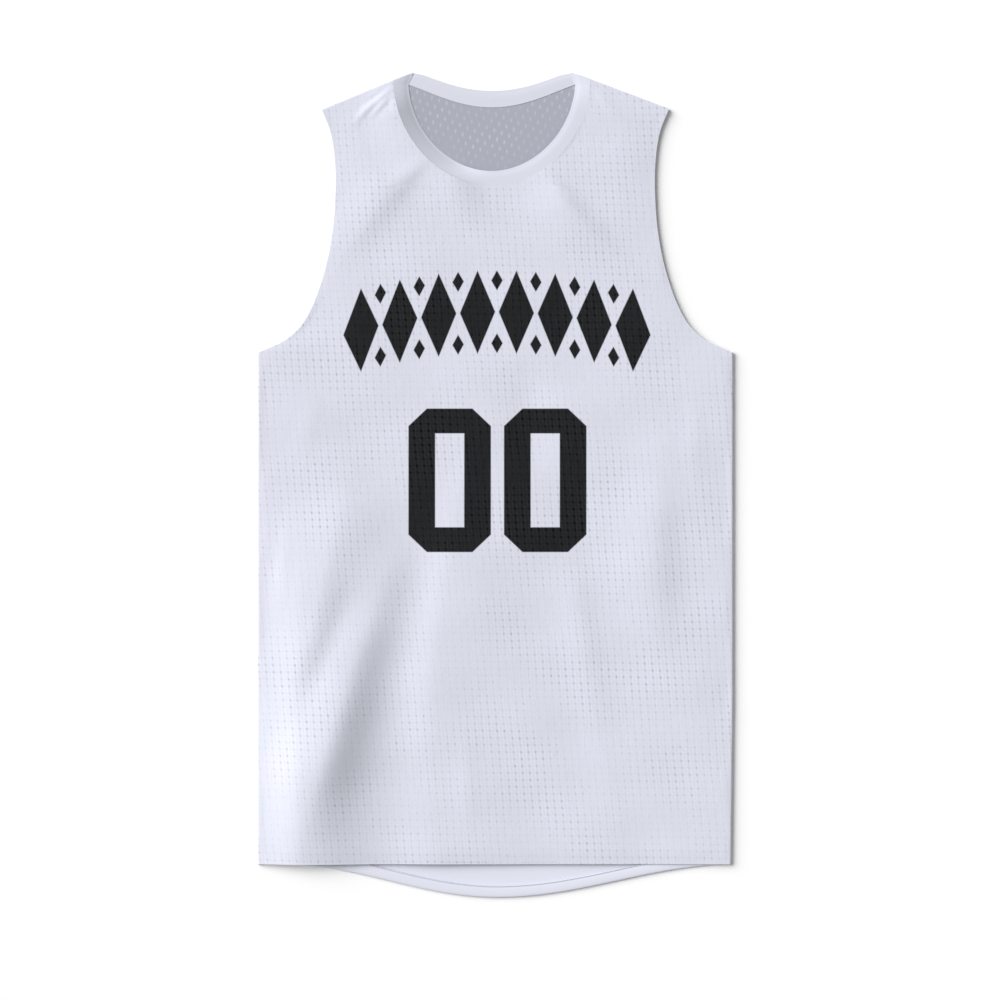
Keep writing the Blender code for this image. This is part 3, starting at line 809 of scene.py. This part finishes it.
NECK_EDGE_HALF = 0.0877
NECK_EDGE_TOP_Y = 0.4244
FRONT_EDGE_DEPTH = 0.0955
BACK_EDGE_DEPTH = 0.0194
BACK_EDGE_POWER = 1.2
BAND_TIP_HALF = 0.0809
BAND_TIP_Y = 0.4330
BAND_TIP_START = radians(87)
BAND_TIP_Z = 0.0016         # the free edge is pressed close where the band rolls over
BAND_TIP_ROUND = 0.0022     # and its corner there is rounded off by this much
BAND_TIP_REACH = 0.0035
SOLID_BAND_WALL = 0.0020
BAND_THICKNESS = 0.0013     # along its middle; at the seam it is as thin as the mesh
BAND_EDGE = 0.0005          # and pressed thin at its folded edge
BAND_SAG = 0.0004           # it sags by this much where it leans, and lies flat along that edge
BAND_SAG_DEEPEST = 0.86     # of the way from the seam to the edge
FRONT_SECTIONS = 110
BACK_SECTIONS = 60
SHOULDER_SECTIONS = 12
ACROSS = 14                 # closest together at the seam and at the free edge
ROUND_STEPS = 4
SECTION_CROWDING = 0.7      # of the front's sections, toward the shoulders
BAND_THINNING = 0.4         # share of the width, at either side, over which the strip thins

RIB_WHITE = "#D2D4E0"
RIB_PITCH = 0.0016          # real ribs are 0.8 mm apart, and drawn at twice that to show
RIB_SHADE = 0.008
RIB_RELIEF = 0.25           # of the bump, against the grain
RIB_GRAIN_PER_METRE = 1100.0


def band_sections():
    """Points at the seam and the free edge all round the neck, with how far the band leans."""
    sections = []
    for step in range(-FRONT_SECTIONS // 2, FRONT_SECTIONS // 2 + 1):
        share = step / (FRONT_SECTIONS // 2)
        turn = pi / 2 * mix(share, sin(pi / 2 * share), SECTION_CROWDING)
        seam = front_seam(turn)
        edge = front_curve(turn, NECK_EDGE_HALF, NECK_EDGE_TOP_Y, FRONT_EDGE_DEPTH)
        tip = ease((abs(turn) - BAND_TIP_START) / (pi / 2 - BAND_TIP_START))
        edge.x -= tip * (NECK_EDGE_HALF - BAND_TIP_HALF) * (1 if turn > 0 else -1)
        edge.y += tip * (BAND_TIP_Y - NECK_EDGE_TOP_Y)
        seam.z = front_height(seam.x, seam.y)
        lowered = mix(BAND_TIP_Z - SEAM_Z, 0.0, ease(below_shoulder(edge.x, edge.y) / NECK_LIFT_RUN))
        edge.z = neck_heights(edge.x, edge.y).edge_z + lowered
        lean = max(seam.z - edge.z, 0.0) / (NECK_LEFT.seam_z - NECK_LEFT.edge_z)
        sections.append((seam, edge, lean))

    back_z = SOLID_BAND_WALL / 2

    def fold_over(side, section, angles):
        outward = shoulder_line(side)[1]
        for angle in angles:
            points = []
            for point in section[:2]:
                radius = (point.z - back_z) / 2
                points.append(point + outward * radius * sin(angle)
                              + Vector((0, 0, radius * (cos(angle) - 1))))
            sections.append((*points, 0.0))

    angles = [pi * step / SHOULDER_SECTIONS for step in range(1, SHOULDER_SECTIONS)]
    left, right = sections[0], sections[-1]
    fold_over(1, right, angles)
    for step in range(BACK_SECTIONS // 2, -BACK_SECTIONS // 2 - 1, -1):
        share = step / (BACK_SECTIONS // 2)
        seam = back_seam(share)
        edge = back_curve(share, BAND_TIP_HALF, BAND_TIP_Y, BACK_EDGE_DEPTH, BACK_EDGE_POWER)
        seam.z = edge.z = back_z
        sections.append((seam, edge, 0.0))
    fold_over(-1, left, angles[::-1])
    for seam, edge, _ in sections:
        near_tip = exp(-(below_shoulder(edge.x, edge.y) / BAND_TIP_REACH) ** 2)
        edge -= (edge - seam).normalized() * BAND_TIP_ROUND * near_tip
    return sections


def band_mesh():
    """The strip as a closed, flattened tube: outer face, folded edge, inner face, seam edge."""
    sections = band_sections()
    bm = bmesh.new()
    layer = bm.loops.layers.uv.new("along the band")
    rings, lengths, travelled = [], [], 0.0
    for index, (seam, edge, lean) in enumerate(sections):
        before, after = sections[index - 1], sections[(index + 1) % len(sections)]
        along = ((after[0] + after[1]) - (before[0] + before[1])).normalized()
        across = (edge - seam).normalized()
        out = along.cross(across).normalized()
        width = (edge - seam).length

        def face_point(share, side):
            """Point of the outer face (side 1) or the inner face (side -1)."""
            inner = mix(CLOTH, BAND_THICKNESS, ease(share / BAND_THINNING))
            half = mix(inner, BAND_EDGE, ease(1 - (1 - share) / BAND_THINNING)) / 2
            middle = seam + across * (width - BAND_EDGE / 2) * share
            if share < BAND_SAG_DEEPEST:
                sag = sin(pi / 2 * share / BAND_SAG_DEEPEST)
            else:
                sag = (1 - share) / (1 - BAND_SAG_DEEPEST)
            return middle + out * (side * half - BAND_SAG * lean * sag)

        half = BAND_EDGE / 2
        shares = [(1 - cos(pi * column / ACROSS)) / 2 for column in range(ACROSS + 1)]
        points = [face_point(share, 1) for share in shares]
        points += [edge + half * (across * (sin(pi * step / ROUND_STEPS) - 1)
                                  + out * cos(pi * step / ROUND_STEPS))
                   for step in range(1, ROUND_STEPS)]
        points += [face_point(share, -1) for share in shares[::-1]]
        rings.append([bm.verts.new(point) for point in points])
        lengths.append(travelled)
        travelled += (after[0] - seam).length
    count = len(rings[0])
    for index, ring in enumerate(rings):
        following = rings[(index + 1) % len(rings)]
        start = lengths[index]
        end = lengths[index + 1] if index + 1 < len(rings) else travelled
        for corner in range(count):
            nearby = (corner + 1) % count
            face = bm.faces.new((ring[corner], ring[nearby], following[nearby], following[corner]))
            for loop, place in zip(face.loops, ((start, corner), (start, corner + 1),
                                                (end, corner + 1), (end, corner))):
                loop[layer].uv = (place[0], place[1] / count)
    return bm


def rib_material(name):
    """Fine polyester rib: smooth and even, its ribs only just seen, across the strip."""
    material, tree = blank_material(name)
    place = add_node(tree, "TexCoord").outputs
    spots = add_node(tree, "SeparateXYZ", {0: place["UV"]})
    turn = add_node(tree, "Math", {0: spots.outputs["X"], 1: 2 * pi / RIB_PITCH},
                    operation="MULTIPLY")
    wave = add_node(tree, "Math", {0: turn}, operation="SINE")
    grain = add_node(tree, "TexNoise", {"Vector": place["Object"], "Scale": RIB_GRAIN_PER_METRE})
    level = add_node(tree, "Math", {0: wave, 1: RIB_RELIEF, 2: grain.outputs["Fac"]},
                     operation="MULTIPLY_ADD")
    relief = add_node(tree, "Bump", {"Height": level, "Strength": 0.25, "Distance": 0.0002})
    shade = add_node(tree, "Math", {0: wave, 1: RIB_SHADE, 2: 1.0}, operation="MULTIPLY_ADD")
    colour = add_node(tree, "VectorMath", {0: dye(RIB_WHITE)[:3], 1: shade}, operation="MULTIPLY")
    finish_material(tree, {"Base Color": colour, "Roughness": 0.66, "Specular IOR Level": 0.35,
                           "Sheen Weight": 0.12, "Normal": relief})
    return material


band = sewn_piece("neck_band_rib", band_mesh(), [rib_material("folded polyester rib")])
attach(band, "root")
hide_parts("neck_band")

# ---------------------------------------------------------------------------------------------
# Hem stitching
# A row of lockstitch in white polyester thread holds the tail's turn-up, close to its top edge,
# and another the front's hem. Each stitch is a short, fat bead of thread that sinks into the cloth
# at both its ends; on the front they sink out of sight but for two stretches.

STITCH_LENGTH = 0.0026
STITCH_PITCH = 0.0031
STITCH_WIDTH = 0.0007
STITCH_END = 0.12           # how blunt its ends are
STITCH_SIDES = 6
STITCH_RINGS = 5
STITCH_INSET = 0.0010       # from the turn-up's top edge
TURN_UP_SUNK = 0.0003       # from the turn-up's face down to the stitches' middles
TURN_UP_END_GAP = 0.004     # from the last stitch to the end of the turn-up
STITCH_RISE = 0.0024        # above the front's hem
FRONT_SUNK = 0.0001         # and the same on the front
Stretch = namedtuple("Stretch", "start end")
FRONT_STRETCHES = [
    Stretch(-0.057, -0.004),
    Stretch(0.029, 0.067),
]
# The white thread is painted a darker grey, as painted shade along the stitched line
THREAD_PAINTED_SHADE_GREY = "#AAACBA"
TWIST_PER_METRE = 900.0
SLOPE_STEP = 0.001          # to either side, where the slope of the hem is taken


def stitch_row(bm, places):
    """A bead of thread at each place, laid along the row."""
    for place, along in places:
        across = Vector((-along.y, along.x, 0))
        loops = []
        for ring in range(STITCH_RINGS + 1):
            share = ring / STITCH_RINGS
            girth = STITCH_WIDTH / 2 * max(sin(pi * share), STITCH_END) ** 0.5
            sunk = STITCH_WIDTH / 2 * (2 * share - 1) ** 2
            middle = place + along * STITCH_LENGTH * (share - 0.5) - Vector((0, 0, sunk))
            turns = [2 * pi * side / STITCH_SIDES for side in range(STITCH_SIDES)]
            loops.append([bm.verts.new(middle + across * girth * cos(turn)
                                       + Vector((0, 0, girth * sin(turn)))) for turn in turns])
        for here, there in zip(loops, loops[1:]):
            for side in range(STITCH_SIDES):
                after = (side + 1) % STITCH_SIDES
                bm.faces.new((here[side], here[after], there[after], there[side]))
        bm.faces.new(loops[0][::-1])
        bm.faces.new(loops[-1])


def hem_places():
    """Even places along the turn-up, just inside its top edge."""
    end = SIDE_X - TURN_UP_SIDE_GAP - TURN_UP_END_GAP
    places, x = [], -end
    while x < end:
        slope = (tail_drop(x - SLOPE_STEP) - tail_drop(x + SLOPE_STEP)) / (2 * SLOPE_STEP)
        along = Vector((1, slope, 0)).normalized()
        y = BACK_HEM_Y - tail_drop(x) + TURN_UP - STITCH_INSET
        places.append((Vector((x, y, TURN_UP_TOP_Z + CLOTH / 2 - TURN_UP_SUNK)), along))
        x += STITCH_PITCH * along.x
    return places


def front_places():
    """Even places above the front's hem, in the stretches where its stitches can be seen."""
    y = FRONT_HEM_Y + STITCH_RISE
    places = []
    for stretch in FRONT_STRETCHES:
        for step in range(round((stretch.end - stretch.start) / STITCH_PITCH)):
            x = stretch.start + STITCH_PITCH * step
            top = front_height(x, y) + CLOTH / 2
            places.append((Vector((x, y, top - FRONT_SUNK)), Vector((1, 0, 0))))
    return places


thread, thread_tree = blank_material("polyester sewing thread")
twist_place = add_node(thread_tree, "TexCoord").outputs["Object"]
twist = add_node(thread_tree, "TexWave", {"Vector": twist_place, "Scale": TWIST_PER_METRE},
                 bands_direction="DIAGONAL")
twist_relief = add_node(thread_tree, "Bump",
                        {"Height": twist.outputs["Fac"], "Strength": 0.3, "Distance": 0.0001})
finish_material(thread_tree, {"Base Color": dye(THREAD_PAINTED_SHADE_GREY), "Roughness": 0.45,
                              "Normal": twist_relief})
stitch_mesh = bmesh.new()
stitch_row(stitch_mesh, hem_places() + front_places())
stitches = sewn_piece("hem_stitches", stitch_mesh, [thread])
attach(stitches, "root")

# ---------------------------------------------------------------------------------------------
# Table, light and camera
# The jersey lies on a white table under a broad soft light from the upper left, with a pale fill
# from all round, and is seen from straight above.

TABLE_SIZE = 12.0
TABLE_WHITES = ("#F8F8F8", "#FAFAFA")
KEY_ELEVATION = radians(32)
KEY_HEADING = radians(152)  # from +X, counter-clockwise, to where the light comes from
KEY_SOFTNESS = radians(50)
KEY_STRENGTH = 4.35
FILL_STRENGTH = 0.33
VIEW_WIDTH = 1.051          # the stretch of table that the camera sees
VIEW_CENTRE = Vector((0.0055, -0.0171, 0.005))
LENS_MM = 100.0
SENSOR_MM = 36.0

bpy.ops.mesh.primitive_plane_add(size=TABLE_SIZE, location=(0, 0, 0))
floor = bpy.context.active_object
floor.name = "floor"
table_top, table_tree = blank_material("white lacquered table")
table_place = add_node(table_tree, "TexCoord").outputs["Object"]
mottle = add_node(table_tree, "TexNoise", {"Vector": table_place, "Scale": 3.0})
whites = [dye(white) for white in TABLE_WHITES]
table_colour = add_node(table_tree, "Mix",
                        {"Factor": mottle.outputs["Fac"], "A": whites[0], "B": whites[1]},
                        data_type="RGBA")
finish_material(table_tree, {"Base Color": table_colour.outputs["Result"], "Roughness": 0.9,
                             "Specular IOR Level": 0.0})
floor.data.materials.append(table_top)

key_data = bpy.data.lights.new("key", "SUN")
key_data.energy = KEY_STRENGTH
key_data.angle = KEY_SOFTNESS
key = bpy.data.objects.new("key", key_data)
toward = Vector((cos(KEY_HEADING) * cos(KEY_ELEVATION), sin(KEY_HEADING) * cos(KEY_ELEVATION),
                 sin(KEY_ELEVATION)))
key.rotation_mode = "QUATERNION"
key.rotation_quaternion = toward.to_track_quat("Z", "Y")
bpy.context.collection.objects.link(key)

world = bpy.data.worlds.new("studio")
world.use_nodes = True
fill = world.node_tree.nodes["Background"].inputs
fill["Color"].default_value = dye("#FFFFFF")
fill["Strength"].default_value = FILL_STRENGTH
bpy.context.scene.world = world
bpy.context.scene.view_settings.view_transform = "Standard"

camera_data = bpy.data.cameras.new("camera")
camera_data.lens = LENS_MM
camera_data.sensor_width = SENSOR_MM
camera = bpy.data.objects.new("camera", camera_data)
camera.location = VIEW_CENTRE + Vector((0, 0, VIEW_WIDTH * LENS_MM / SENSOR_MM))
bpy.context.collection.objects.link(camera)
bpy.context.scene.camera = camera
